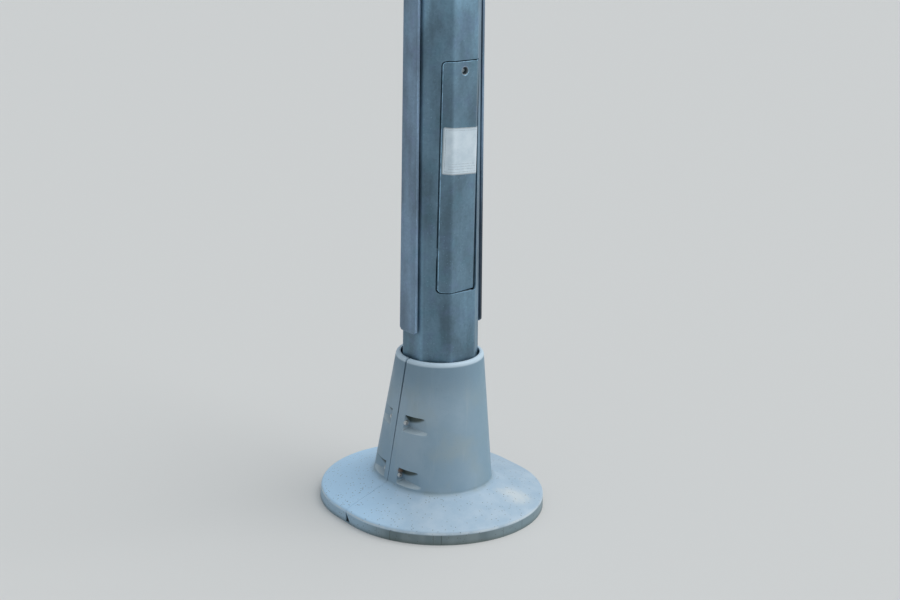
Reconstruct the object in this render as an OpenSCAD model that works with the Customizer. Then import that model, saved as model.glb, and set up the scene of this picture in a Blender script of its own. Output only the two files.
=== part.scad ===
// Foot section of an octagonal galvanised lighting mast: tapered shaft on a base flange,
// flush lift-off service door, two flat side bars and a two-part moulded foot cover.
// Millimetres. +Z up, origin on the mast axis at the underside of the base flange.
// The door faces -Y. The side bars and the joint of the cover are on the -X and +X sides.

/* [Shaft] */
// Height of the built section above the ground
section_h = 1500; // [1250:10:2500]
// Width of the shaft across its flats at ground level
foot_af = 176; // [172:1:180]
// Loss of width across the flats for each metre of height
taper_per_m = 12.5; // [4:0.5:16]
// Thickness of the shaft wall
shaft_wall = 4; // [3:0.5:5]
// Outer radius of the eight bends
bend_r = 12; // [8:1:20]

/* [Base flange] */
// Side of the square base flange
flange_w = 320; // [300:5:330]
// Thickness of the base flange
flange_t = 16; // [12:1:20]
// Corner radius of the base flange
flange_corner_r = 20; // [5:1:30]
// Distance between anchor holes along each side
anchor_spacing = 240; // [230:5:260]
// Diameter of the anchor holes
anchor_hole_d = 26; // [18:1:32]
// Diameter of the cable hole in the flange
cable_hole_d = 120; // [60:5:150]
// Height of the stiffening gussets
gusset_h = 60; // [40:5:65]
// Reach of the gussets away from the shaft
gusset_reach = 50; // [30:5:55]
// Thickness of the gussets
gusset_t = 8; // [5:1:12]

/* [Service door] */
// Height of the door's lower edge above the ground
door_z = 555; // [520:1:620]
// Height of the door
door_h = 530; // [420:5:600]
// Width of the door, seen from the front
door_w = 98.5; // [88:0.5:104]
// How far the door's upper end lies left of the shaft's middle
door_shift = 1; // [0:0.5:4]
// How much further left its lower end lies
door_sway = 8; // [0:0.5:10]
// Thickness of the door plate
door_t = 4; // [3:0.5:5]
// Width of the slit round the door
door_slit = 2.5; // [1.5:0.5:4]
// Corner radius of the door
door_corner_r = 8; // [5:1:16]
// Distance of the lock axis below the door's upper edge
lock_drop = 21; // [18:1:40]
// Diameter of the lock hole in the door
lock_hole_d = 20; // [16:1:22]
// Diameter of the lock bolt
lock_bolt_d = 10; // [6:1:12]
// Height of the door's side lugs above its lower edge
lug_z = 80; // [60:5:160]

/* [Label] */
// Side of the square label
label_w = 107; // [60:1:108]
// Height of the label's middle above the ground
label_z = 883; // [780:1:920]
// Thickness of the label
label_t = 0.8; // [0.5:0.1:1.5]

/* [Side bars] */
// Height of the bars' lower ends above the ground
bar_z = 451; // [430:5:700]
// Width of a bar at its lower end
bar_w_low = 62; // [50:1:66]
// Width of a bar at its upper end
bar_w_high = 53; // [46:1:60]
// Thickness of a bar
bar_t = 6; // [4:1:10]
// Space between the left bar and the shaft
bar_gap_left = 6; // [4:0.5:12]
// Space between the right bar and the shaft
bar_gap_right = 8; // [4:0.5:12]
// Side of the square spacers between bar and shaft
spacer_w = 30; // [20:1:40]

/* [Foot cover] */
// Height of the cover
cover_h = 394; // [340:2:420]
// Outer radius of the cover at its top
cover_top_r = 103; // [102:0.5:112]
// Outer radius of the cover's cone at its foot
cover_cone_r = 128; // [122:1:140]
// Height of the cone's foot above the ground
cover_cone_z = 78; // [70:1:90]
// Outer radius of the cover's rim
cover_rim_r = 254; // [245:1:270]
// Height of the upright band of the rim
cover_band_h = 28; // [22:1:34]
// Wall of the cover
cover_wall = 4; // [3:0.5:5]
// How far the back half is drawn out to the rear at the ground
cover_shift = 64; // [20:2:80]
// The same at the top of the cover
cover_top_shift = 3; // [1:0.5:6]
// Width of the joint between the two halves
cover_joint = 2; // [1:0.5:4]
// Thickness of the lip round the top opening
cover_lip = 6; // [4:0.5:8]

/* [Cover fixings] */
// Heights of the upper and lower screws
screw_heights = [232, 98]; // [90:1:300]
// Height of a screw pocket
pocket_h = 40; // [30:1:50]
// Depths of the upper and lower pockets at the screw
pocket_depths = [14, 15]; // [8:1:16]
// Distance of a pocket's end wall from the joint
pocket_offset = 26; // [16:1:34]
// Diameter of the cover screws
cover_screw_d = 8; // [5:1:10]

/* [Inside the shaft] */
// Width of the strips round the door opening
frame_w = 16; // [10:1:18]
// Thickness of those strips
frame_t = 5; // [3:0.5:6]
// Width of the rail for the cable joint box
rail_w = 40; // [30:5:60]
// Thickness of that rail
rail_t = 5; // [3:0.5:8]

/* [Hidden] */

zinc = [0.50, 0.58, 0.62];
zinc_dark = [0.40, 0.47, 0.51];
cover_grey = [0.66, 0.70, 0.74];

side_angle = 45;
corner_angle = 22.5;
bend_steps = 3;
past = 1;
far = 400;
arc_fn = 32;
round_fn = 48;
fine_fn = 96;

door_top = door_z + door_h;
lock_z = door_top - lock_drop;
opening_z = door_z - door_slit;
opening_top = door_top + door_slit;

// Width across the flats at a height
function af_at(z) = foot_af - taper_per_m * z / 1000;

// Middle of the door seen from the front, at a height
function door_middle(z) = -door_shift - door_sway * (door_top - z) / door_h;

// Edge of the door opening on one side, seen from the front, at a height
function opening_edge(side, z) = door_middle(z) + side * (door_w / 2 + door_slit);

// Outline of the octagon with rounded bends
function octagon_points(af, r) = [
    for (k = [0:7], i = [0:bend_steps])
        let (a = corner_angle + side_angle * k, b = a - corner_angle + side_angle * i / bend_steps,
            c = (af / 2 - r) / cos(corner_angle))
        [c * cos(a) + r * cos(b), c * sin(a) + r * sin(b)]
];

// Tapered octagon, grown outwards by an offset, between two heights.
// Its bends tighten with the taper, so forms of one offset share one surface at any height.
module mast_form(offset, z0, z1) {
    af0 = af_at(z0) + 2 * offset;
    af1 = af_at(z1) + 2 * offset;
    translate([0, 0, z0])
        linear_extrude(height = z1 - z0, scale = af1 / af0)
            polygon(octagon_points(af0, (bend_r + offset) * af0 / (foot_af + 2 * offset)));
}

// Outline of the door seen from the front, grown by an amount
module door_outline(grow) {
    r = door_corner_r + grow;
    hull()
        for (side = [-1, 1], z = [door_z + door_corner_r, door_top - door_corner_r])
            translate([door_middle(z) + side * (door_w / 2 - door_corner_r), z])
                circle(r, $fn = arc_fn);
}

// Prism of the door outline through the front wall
module door_prism(grow, depth = far) {
    rotate([90, 0, 0])
        linear_extrude(height = depth)
            door_outline(grow);
}

module shaft() {
    color(zinc)
        difference() {
            mast_form(0, flange_t, section_h);
            mast_form(-shaft_wall, flange_t - past, section_h + past);
            door_prism(door_slit);
        }
}

module base_flange() {
    corner = flange_w / 2 - flange_corner_r;
    color(zinc)
        difference() {
            union() {
                for (turn = [0, 90])
                    rotate([0, 0, turn])
                        translate([-flange_w / 2, -corner, 0])
                            cube([flange_w, 2 * corner, flange_t]);
                for (x = [-corner, corner], y = [-corner, corner])
                    translate([x, y, 0])
                        cylinder(h = flange_t, r = flange_corner_r, $fn = round_fn);
            }
            translate([0, 0, -past])
                cylinder(h = flange_t + 2 * past, d = cable_hole_d, $fn = fine_fn);
            for (x = [-1, 1], y = [-1, 1])
                translate([x * anchor_spacing / 2, y * anchor_spacing / 2, -past])
                    cylinder(h = flange_t + 2 * past, d = anchor_hole_d, $fn = round_fn);
        }
}

// Gusset on the flat that faces a direction, shaped to the lean of the shaft
module gusset(direction) {
    toe = gusset_t;
    lean = taper_per_m / 2000;
    root = af_at(flange_t) / 2;
    color(zinc)
        rotate([0, 0, direction])
            translate([0, gusset_t / 2, flange_t])
                rotate([90, 0, 0])
                    linear_extrude(height = gusset_t)
                        polygon([[root, 0], [root + gusset_reach, 0], [root + gusset_reach, toe],
                            [root + toe - lean * gusset_h, gusset_h], [root - lean * gusset_h, gusset_h]]);
}

strip_low = opening_z - frame_w;
strip_high = opening_top + frame_w;
// Half width of the front flat between its bends, inside the wall
front_flat = (af_at(strip_high) / 2 - bend_r) * tan(corner_angle);

// Flat strip inside the wall, with its outline given as seen from the front
module opening_strip(outline) {
    color(zinc_dark)
        intersection() {
            difference() {
                mast_form(-shaft_wall, strip_low, strip_high);
                mast_form(-shaft_wall - frame_t, strip_low - past, strip_high + past);
            }
            rotate([90, 0, 0])
                linear_extrude(height = far)
                    polygon(outline);
        }
}

// Outer edge of a side strip, which ends where the wall bends round to the side flat
function strip_end(side, z) =
    side * min(side * opening_edge(side, z) + frame_w, af_at(z) / 2 - shaft_wall - frame_t - past);

module side_strip(side) {
    opening_strip([
        [opening_edge(side, strip_low), strip_low],
        [strip_end(side, strip_low), strip_low],
        [strip_end(side, strip_high), strip_high],
        [opening_edge(side, strip_high), strip_high]
    ]);
}

module cross_strip(z) {
    opening_strip([[-front_flat, z], [front_flat, z], [front_flat, z + frame_w], [-front_flat, z + frame_w]]);
}

// Flat bar between the side strips that takes the lock bolt
bridge_h = 30;
bridge_t = 6;
bridge_lap = 2;
bolt_play = 0.6;
lock_x = door_middle(lock_z);
inner_corner = (af_at(lock_z) / 2 - shaft_wall - frame_t) / cos(side_angle);
bridge_face = inner_corner + opening_edge(-1, lock_z) - bridge_lap;
module lock_bridge() {
    color(zinc_dark)
        difference() {
            intersection() {
                mast_form(-shaft_wall - frame_t, lock_z - bridge_h, lock_z + bridge_h);
                translate([-far / 2, -bridge_face, lock_z - bridge_h / 2])
                    cube([far, bridge_t, bridge_h]);
            }
            translate([lock_x, -bridge_face - past, lock_z])
                rotate([-90, 0, 0])
                    cylinder(h = bridge_t + 2 * past, d = lock_bolt_d + bolt_play, $fn = round_fn);
        }
}

// Rail on two feet on the back wall, opposite the door, with two fixing holes
rail_margin = 60;
rail_low = opening_z + rail_margin;
rail_high = opening_top - rail_margin;
rail_foot = 12;
rail_hole_d = 8;
rail_hole_inset = 60;
module gear_rail() {
    back = af_at(rail_low) / 2 - shaft_wall;
    front = af_at(rail_high) / 2 - shaft_wall - rail_foot;
    color(zinc_dark)
        difference() {
            union() {
                translate([-rail_w / 2, front - rail_t, rail_low])
                    cube([rail_w, rail_t, rail_high - rail_low]);
                intersection() {
                    mast_form(-shaft_wall, rail_low, rail_high);
                    for (z = [rail_low + rail_foot, rail_high - 2 * rail_foot])
                        translate([-rail_w / 4, front - past, z])
                            cube([rail_w / 2, back - front + 2 * past, rail_foot]);
                }
            }
            for (z = [rail_low + rail_hole_inset, rail_high - rail_hole_inset])
                translate([0, front - rail_t - past, z])
                    rotate([-90, 0, 0])
                        cylinder(h = rail_t + rail_foot, d = rail_hole_d, $fn = arc_fn);
        }
}

// Earthing stud on the inside of the left wall
stud_d = 10;
stud_above = 50;
stud_z = opening_z + stud_above;
stud_len = 28;
nut_t = 8;
nut_w = 19;
nut_stand = 6;
module earth_stud() {
    color(zinc)
        intersection() {
            mast_form(-shaft_wall, stud_z - stud_d, stud_z + stud_d);
            translate([-af_at(stud_z) / 2, 0, stud_z])
                rotate([0, 90, 0])
                    cylinder(h = stud_len + shaft_wall, d = stud_d, $fn = arc_fn);
        }
}

module earth_nut() {
    color(zinc_dark)
        translate([nut_stand + shaft_wall - af_at(stud_z) / 2, 0, stud_z])
            rotate([0, 90, 0])
                difference() {
                    cylinder(h = nut_t, d = nut_w, $fn = 6);
                    translate([0, 0, -past])
                        cylinder(h = nut_t + 2 * past, d = stud_d, $fn = arc_fn);
                }
}

// Lean of a flat of the shaft
flat_lean = atan(taper_per_m / 2000);

// Puts a bar or spacer against a side flat: x along the flat's normal, z up the flat
module on_side(side, z) {
    translate([side * af_at(z) / 2, 0, z])
        rotate([0, -side * flat_lean, 0])
            mirror([side < 0 ? 1 : 0, 0, 0])
                children();
}

// Cut across the lower corners of a bar
bar_notch = 6;
module side_bar(side, gap) {
    length = (section_h - bar_z) / cos(flat_lean);
    color(zinc)
        intersection() {
            on_side(side, bar_z)
                translate([gap, 0, 0])
                    rotate([90, 0, 90])
                        linear_extrude(height = bar_t)
                            polygon([[-bar_w_low / 2 + bar_notch, 0], [bar_w_low / 2 - bar_notch, 0],
                                [bar_w_low / 2, bar_notch], [bar_w_high / 2, length + past],
                                [-bar_w_high / 2, length + past], [-bar_w_low / 2, bar_notch]]);
            translate([-far / 2, -far / 2, 0])
                cube([far, far, section_h]);
        }
}

// Short blocks that hold a bar off the shaft
spacer_count = 3;
module bar_spacers(side, gap) {
    span = section_h - bar_z - 4 * spacer_w;
    color(zinc_dark)
        for (i = [0:spacer_count - 1])
            on_side(side, bar_z + 2 * spacer_w + span * i / (spacer_count - 1))
                translate([0, -spacer_w / 2, -spacer_w / 2])
                    cube([gap, spacer_w, spacer_w]);
}

// Foot cover: outlines are ovals of two half circles, drawn apart to the rear
outline_steps = 30;
function oval_points(r, shift) = concat(
    [for (i = [0:outline_steps]) let (a = 180 + 180 * i / outline_steps) [r * cos(a), r * sin(a)]],
    [for (i = [0:outline_steps]) let (a = 180 * i / outline_steps) [r * cos(a), shift + r * sin(a)]]
);

// How far the rear half circle is drawn out at a height
function shift_at(z) = cover_top_shift + (cover_shift - cover_top_shift) * (cover_h - z) / cover_h;

// Points of an arc in the radius and height plane
function arc_points(cr, cz, r, a0, a1, steps) =
    [for (i = [0:steps]) let (a = a0 + (a1 - a0) * i / steps) [cr + r * cos(a), cz + r * sin(a)]];

rim_r = 7;
foot_fillet = 7;
lip_r = cover_lip / 2;
rim_steps = 4;
fillet_steps = 3;
lip_steps = 3;
lip_start = 30;
// Slopes of the flared skirt and of the cone, from the horizontal
flare_slope = atan((cover_cone_z - cover_band_h) / (cover_rim_r - cover_cone_r));
cone_slope = atan((cover_h - cover_cone_z) / (cover_cone_r - cover_top_r));
// Radii and heights where the fillet between skirt and cone begins and ends
fillet_reach = foot_fillet * tan((cone_slope - flare_slope) / 2);
fillet_start = [cover_cone_r + fillet_reach * cos(flare_slope), cover_cone_z - fillet_reach * sin(flare_slope)];
fillet_center = [fillet_start[0] + foot_fillet * sin(flare_slope),
    fillet_start[1] + foot_fillet * cos(flare_slope)];

// Half outline of the cover from the ground to the lip, inset by an amount
function cover_profile(inset) = concat(
    [[cover_rim_r - inset, 0]],
    arc_points(cover_rim_r - rim_r, cover_band_h - rim_r * tan(flare_slope / 2),
        rim_r - inset, 0, 90 - flare_slope, rim_steps),
    arc_points(fillet_center[0], fillet_center[1], foot_fillet + inset,
        270 - flare_slope, 270 - cone_slope, fillet_steps),
    [[cover_top_r - inset / sin(cone_slope) + lip_r / tan(cone_slope), cover_h - lip_r]]
);

// Closed solid through a list of [radius, height] stations
module oval_loft(stations) {
    n = 2 * (outline_steps + 1);
    m = len(stations);
    points = [for (s = stations) for (p = oval_points(s[0], shift_at(s[1]))) [p[0], p[1], s[1]]];
    sides = [for (j = [0:m - 2], i = [0:n - 1]) let (k = (i + 1) % n)
        [j * n + i, (j + 1) * n + i, (j + 1) * n + k, j * n + k]];
    bottom = [[for (i = [0:n - 1]) i]];
    top = [[for (i = [n - 1:-1:0]) (m - 1) * n + i]];
    polyhedron(points = points, faces = concat(bottom, sides, top), convexity = 8);
}

module cover_outside() {
    lip = arc_points(cover_top_r - lip_r, cover_h - lip_r, lip_r, lip_start, 90, lip_steps);
    oval_loft(concat(cover_profile(0), lip));
}

module cover_inside() {
    profile = cover_profile(cover_wall);
    hole_r = cover_top_r - cover_lip;
    rest = [for (i = [1:len(profile) - 2]) profile[i]];
    oval_loft(concat([[cover_rim_r - cover_wall, -past]], rest,
        [[cover_top_r - cover_wall, cover_h - 4 * lip_r], [hole_r, cover_h - 2 * lip_r], [hole_r, cover_h + past]]));
}

// Half space on one side of the joint, which leans with the drawn-out back half
module joint_side(side) {
    lean = atan((cover_shift - cover_top_shift) / 2 / cover_h);
    translate([0, shift_at(0) / 2, 0])
        rotate([lean, 0, 0])
            translate([-far, side > 0 ? cover_joint / 2 : -2 * far - cover_joint / 2, -far])
                cube([2 * far, 2 * far, 3 * far]);
}

function cone_r_at(z) = cover_top_r + (cover_cone_r - cover_top_r) * (cover_h - z) / (cover_h - cover_cone_z);

// Screw pocket on one side of the joint, grown by a wall.
// It has its full height at the cover's surface and narrows by the draft at its floor.
pocket_draft = 5;
pocket_reach = 60;
module pocket(side, half, i, grow) {
    z = screw_heights[i];
    floor_x = cone_r_at(z) - pocket_depths[i] - grow;
    mouth_x = floor_x + 2 * (pocket_depths[i] + grow);
    wall_y = pocket_offset - grow;
    half_h = pocket_h / 2 + grow;
    translate([0, shift_at(z) / 2, z])
        mirror([side < 0 ? 1 : 0, 0, 0])
            mirror([0, half < 0 ? 1 : 0, 0])
                translate([0, wall_y, 0])
                    rotate([90, 0, 0])
                        mirror([0, 0, 1])
                            linear_extrude(height = pocket_reach + 2 * grow)
                                polygon([[floor_x, pocket_draft - half_h], [mouth_x, -half_h - pocket_draft],
                                    [mouth_x, half_h + pocket_draft], [floor_x, half_h - pocket_draft]]);
}

// Upright flange inside the wall along the joint
joint_flange_t = 4;
joint_flange_gap = 6;
joint_flange_x = af_at(0) / 2 + joint_flange_gap;
module joint_flanges(half) {
    for (side = [-1, 1])
        intersection() {
            joint_side(half);
            translate([0, half * joint_flange_t, 0])
                joint_side(-half);
            translate([side > 0 ? joint_flange_x : -far - joint_flange_x, -far, cover_band_h])
                cube([far, 2 * far, cover_h - cover_band_h - 4 * lip_r]);
        }
}

screw_play = 1;
screw_fn = 24;
module screw_hole(side, i) {
    z = screw_heights[i];
    translate([side * screw_x(i), shift_at(z) / 2, z])
        rotate([90, 0, 0])
            cylinder(h = 3 * pocket_offset, d = cover_screw_d + screw_play, center = true, $fn = screw_fn);
}

function screw_x(i) = cone_r_at(screw_heights[i]) - pocket_depths[i] / 2;

// Finger notches in the rim of the front half, beside the joint
notch_w = 12;
notch_low = 6;
notch_high = 25;
module finger_notches() {
    translate([0, shift_at(0) / 2, 0])
        rotate([90, 0, 90])
            linear_extrude(height = 2 * far, center = true)
                polygon([[-notch_w, notch_low], [past, notch_low], [past, notch_high], [-past, notch_high]]);
}

module cover_half(half) {
    color(cover_grey)
        difference() {
            intersection() {
                union() {
                    difference() {
                        cover_outside();
                        cover_inside();
                    }
                    intersection() {
                        cover_outside();
                        union() {
                            for (side = [-1, 1], i = [0, 1])
                                pocket(side, half, i, cover_wall);
                            joint_flanges(half);
                        }
                    }
                }
                joint_side(half);
            }
            for (side = [-1, 1], i = [0, 1]) {
                pocket(side, half, i, 0);
                screw_hole(side, i);
            }
            if (half < 0) finger_notches();
        }
}

// Screw across the joint, with its head in the front pocket and its nut in the back one
head_t = 5;
head_ratio = 1.7;
module cover_screw(side, i) {
    z = screw_heights[i];
    grip = pocket_offset;
    color(zinc)
        translate([side * screw_x(i), shift_at(z) / 2, z])
            rotate([90, 0, 0]) {
                cylinder(h = 2 * grip + 2 * head_t, d = cover_screw_d, center = true, $fn = screw_fn);
                translate([0, 0, grip])
                    cylinder(h = head_t, d = cover_screw_d * head_ratio, $fn = screw_fn);
                translate([0, 0, -grip - head_t])
                    cylinder(h = head_t, d = cover_screw_d * head_ratio, $fn = 6);
            }
}

// Plate that follows the three front flats of the shaft, between two offsets
module front_shell(inner, outer, z0, z1) {
    difference() {
        mast_form(outer, z0, z1);
        mast_form(inner, z0 - past, z1 + past);
    }
}

module door_panel() {
    color(zinc)
        difference() {
            intersection() {
                front_shell(-door_t, 0, door_z, door_top);
                door_prism(0);
            }
            translate([lock_x, 0, lock_z])
                rotate([90, 0, 0])
                    cylinder(h = far, d = lock_hole_d, $fn = round_fn);
        }
}

// The square label is bent over two bends, so it is narrower seen from the front
label_flat = af_at(label_z) / 2 * tan(corner_angle);
label_chord = 2 * (label_flat + (label_w / 2 - label_flat) * cos(side_angle));
module door_label() {
    color("white")
        intersection() {
            front_shell(0, label_t, label_z - label_w / 2, label_z + label_w / 2);
            translate([door_middle(label_z) - label_chord / 2, -far, 0])
                cube([label_chord, far, section_h]);
        }
}

// Cup behind the lock hole, with the bolt through its floor
cup_wall = 2;
cup_depth = 14;
cup_face = (af_at(lock_z) - door_t) / 2;
module lock_cup() {
    color(zinc_dark)
        translate([lock_x, -cup_face, lock_z])
            rotate([-90, 0, 0])
                difference() {
                    cylinder(h = cup_depth, d = lock_hole_d, $fn = round_fn);
                    translate([0, 0, -past])
                        cylinder(h = cup_depth - cup_wall + past, d = lock_hole_d - 2 * cup_wall, $fn = round_fn);
                    cylinder(h = cup_depth + past, d = lock_bolt_d, $fn = round_fn);
                }
}

// Bolt with a three-sided head that sits on the floor of the cup
bolt_head_h = 6;
bolt_head_play = 1;
bolt_past_bridge = 4;
module lock_bolt() {
    head_y = cup_face - cup_depth + cup_wall + bolt_head_h;
    nose_y = bridge_face - bridge_t - bolt_past_bridge;
    color(zinc)
        translate([lock_x, -head_y, lock_z])
            rotate([-90, 0, 0]) {
                cylinder(h = head_y - nose_y, d = lock_bolt_d, $fn = round_fn);
                cylinder(h = bolt_head_h, d = lock_hole_d - 2 * cup_wall - bolt_head_play, $fn = 3);
            }
}

// Lugs behind the door's edges that locate it in the opening
lug_t = 4;
lug_h = 24;
lug_play = 1;
side_lug_len = 14;
bottom_lug_len = 12;
bottom_lug_w = 48;

// What lies behind the door's inner face, as far in as a distance from the axis
module behind_door(end, low, size) {
    intersection() {
        mast_form(-door_t, opening_z, opening_top);
        translate([low[0], -far, low[1]])
            cube([size[0], far - end, size[1]]);
    }
}

// Distance from the axis of the door's inner face on its two bent sides
function wing_depth(x, z) = (af_at(z) / 2 - door_t) / cos(side_angle) - abs(x);

module side_lug(side) {
    z = door_z + lug_z;
    x = side > 0 ? opening_edge(side, z) - lug_play - lug_t : opening_edge(side, z + lug_h) + lug_play;
    color(zinc_dark)
        behind_door(wing_depth(x, z) - side_lug_len, [x, z], [lug_t, lug_h]);
}

module bottom_lug() {
    color(zinc_dark)
        behind_door(af_at(door_z) / 2 - door_t - bottom_lug_len,
            [door_middle(door_z) - bottom_lug_w / 2, opening_z + lug_play], [bottom_lug_w, lug_t]);
}

shaft();
base_flange();
gusset(-90);  // gusset_front
gusset(90);  // gusset_back
gusset(180);  // gusset_left
gusset(0);  // gusset_right
side_strip(-1);  // opening_strip_left
side_strip(1);  // opening_strip_right
cross_strip(opening_top);  // opening_strip_top
cross_strip(strip_low);  // opening_strip_bottom
lock_bridge();
gear_rail();
earth_stud();
earth_nut();
side_bar(-1, bar_gap_left);  // side_bar_left
side_bar(1, bar_gap_right);  // side_bar_right
bar_spacers(-1, bar_gap_left);  // bar_spacers_left
bar_spacers(1, bar_gap_right);  // bar_spacers_right
cover_half(-1);  // cover_front_half
cover_half(1);  // cover_back_half
cover_screw(-1, 0);  // cover_screw_left_upper
cover_screw(-1, 1);  // cover_screw_left_lower
cover_screw(1, 0);  // cover_screw_right_upper
cover_screw(1, 1);  // cover_screw_right_lower
door_panel();
door_label();
lock_cup();
lock_bolt();
side_lug(-1);  // door_lug_left
side_lug(1);  // door_lug_right
bottom_lug();  // door_lug_bottom
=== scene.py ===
import math
from contextlib import contextmanager

import bmesh
import bpy
from mathutils import Matrix, Vector


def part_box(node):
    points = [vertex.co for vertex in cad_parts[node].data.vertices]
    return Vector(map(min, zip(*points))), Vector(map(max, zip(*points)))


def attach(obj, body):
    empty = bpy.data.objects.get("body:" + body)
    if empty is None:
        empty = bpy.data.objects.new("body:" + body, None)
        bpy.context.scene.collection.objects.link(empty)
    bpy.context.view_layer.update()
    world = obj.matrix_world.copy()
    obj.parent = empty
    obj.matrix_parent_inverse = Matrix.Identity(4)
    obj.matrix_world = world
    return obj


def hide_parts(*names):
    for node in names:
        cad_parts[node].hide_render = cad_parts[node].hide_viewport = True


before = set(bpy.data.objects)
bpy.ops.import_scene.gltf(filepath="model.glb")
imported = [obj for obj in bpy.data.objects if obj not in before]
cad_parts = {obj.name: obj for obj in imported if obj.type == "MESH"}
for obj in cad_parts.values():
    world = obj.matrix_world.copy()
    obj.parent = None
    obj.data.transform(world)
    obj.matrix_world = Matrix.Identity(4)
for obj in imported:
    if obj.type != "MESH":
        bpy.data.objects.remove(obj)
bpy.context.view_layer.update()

MM = 0.001


def linked(name, data):
    """A new object in the scene."""
    obj = bpy.data.objects.new(name, data)
    bpy.context.collection.objects.link(obj)
    return obj


# The camera stands where the photograph was taken from, at the height of a standing person's eyes
IMAGE_W = 900
SENSOR_W = 36
FOCAL_PX = 1612.5
FARTHEST_SEEN = 200
CAMERA_HEIGHT = 1.610
CAMERA_DISTANCE = 3.637
CAMERA_SIDE = math.radians(37.17)
CAMERA_PITCH = math.radians(16.79)
CAMERA_YAW = math.radians(0.334)
CAMERA_ROLL = math.radians(0.74)


def place_camera():
    data = bpy.data.cameras.new("photo_camera")
    data.sensor_width = SENSOR_W
    data.lens = FOCAL_PX / IMAGE_W * SENSOR_W
    data.clip_end = FARTHEST_SEEN
    x, y = -math.sin(CAMERA_SIDE) * CAMERA_DISTANCE, -math.cos(CAMERA_SIDE) * CAMERA_DISTANCE
    stand = (x, y, CAMERA_HEIGHT)
    camera = linked("photo_camera", data)
    camera.matrix_world = (Matrix.Translation(stand) @ Matrix.Rotation(-CAMERA_SIDE - CAMERA_YAW, 4, "Z")
                           @ Matrix.Rotation(math.pi / 2 - CAMERA_PITCH, 4, "X")
                           @ Matrix.Rotation(CAMERA_ROLL, 4, "Z"))
    bpy.context.scene.camera = camera


place_camera()

# Sizes of the shaft, its foot and its door in millimetres, the same as in the part's source
SECTION_H = 1500.0
FOOT_AF = 176.0
TAPER = 0.0125
SHAFT_WALL = 4.0
BEND_R = 12.0
FLANGE_T = 16.0
GUSSET_H = 60.0
GUSSET_REACH = 50.0
GUSSET_T = 8.0
DOOR_Z = 555.0
DOOR_H = 530.0
DOOR_W = 98.5
DOOR_SHIFT = 1.0
DOOR_SWAY = 8.0
DOOR_T = 4.0
DOOR_SLIT = 2.5
DOOR_CORNER = 8.0
DOOR_TOP = DOOR_Z + DOOR_H
LOCK_Z = DOOR_TOP - 21.0
LOCK_HOLE_R = 10.0

# The leaf is twisted: below its lock the left edge stands a little proud and the right edge is sunk
LEAF_SUNK = 4.3
LEAF_TWIST = 0.121

# The label is turned and sheared by shares of its own length and stands a little off the leaf
LABEL_W = 107.0
LABEL_Z = 883.0
LABEL_T = 0.25
LABEL_CORNER = 4.0
LABEL_OFF = 0.30
LABEL_TURN = 0.066
LABEL_SHEAR = 0.024
LABEL_STEPS = 44

# The cover has the outer size of the part's, and inside that it is shaped closer to the photograph
COVER_H = 388.0
COVER_TOP_R = 103.0
COVER_CONE_R = 128.0
COVER_CONE_Z = 70.0
COVER_RIM_R = 254.0
COVER_BAND_H = 28.0
COVER_WALL = 4.0
COVER_SHIFT = 64.0
COVER_TOP_SHIFT = 3.0
COVER_LIP = 10.0
LIP_R = 8.0
RIM_R = 7.0
FOOT_FILLET = 7.0
JOINT_BACK = 37.0
JOINT_LEAN = 0.1317
JOINT_SWEEP = 0.07
RIB_T = 4.0
RIB_NEAR_X = FOOT_AF / 2 + 6.0
NOTCH_W = 17.0
NOTCH_LOW = 3.0
NOTCH_HIGH = 26.0

# The joint gapes at the top of the cover and closes towards its rim
GAP_TOP = 5.4
GAP_FOOT = 1.6
GAP_SKIRT = 0.7

# Screw pockets, the upper ones first. The ledge under a pocket slopes over more height than its top edge
SCREW_HEIGHTS = (232.0, 98.0)
POCKET_DEPTHS = (18.0, 17.0)
POCKET_TURNS = (0.09, 0.02)
POCKET_H = 42.0
LEDGE_SLOPE = 8.0
TOP_SLOPE = 2.6
HEAD_T = 5.0

# Edges sharper than this are rounded, and faces narrower than this many millimetres are made bright, partly
# as rubbed wear and partly as a painted highlight
EDGE_ANGLE = math.radians(40)
WORN_HIGHLIT_WIDTH = 0.75

CORNER = math.radians(22.5)
BEND = math.radians(45)
FLARE = math.atan((COVER_CONE_Z - COVER_BAND_H) / (COVER_RIM_R - COVER_CONE_R))
CONE = math.atan((COVER_H - COVER_CONE_Z) / (COVER_CONE_R - COVER_TOP_R))

FACING_OUT = Matrix.Rotation(math.radians(90), 3, "X")
FACING_IN = Matrix.Rotation(math.radians(-90), 3, "X")
INTO_SHAFT = Matrix.Rotation(math.radians(90), 3, "Y")


def af_at(z):
    """Width of the shaft across its flats at a height."""
    return FOOT_AF - TAPER * z


def bend_at(z, offset=0.0):
    return (BEND_R + offset) * (af_at(z) + 2 * offset) / (FOOT_AF + 2 * offset)


def shift_at(z):
    """How far apart the two half circles of the cover are drawn at a height."""
    return COVER_TOP_SHIFT + (COVER_SHIFT - COVER_TOP_SHIFT) * (COVER_H - z) / COVER_H


def cone_r_at(z):
    return COVER_TOP_R + (COVER_CONE_R - COVER_TOP_R) * (COVER_H - z) / (COVER_H - COVER_CONE_Z)


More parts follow.
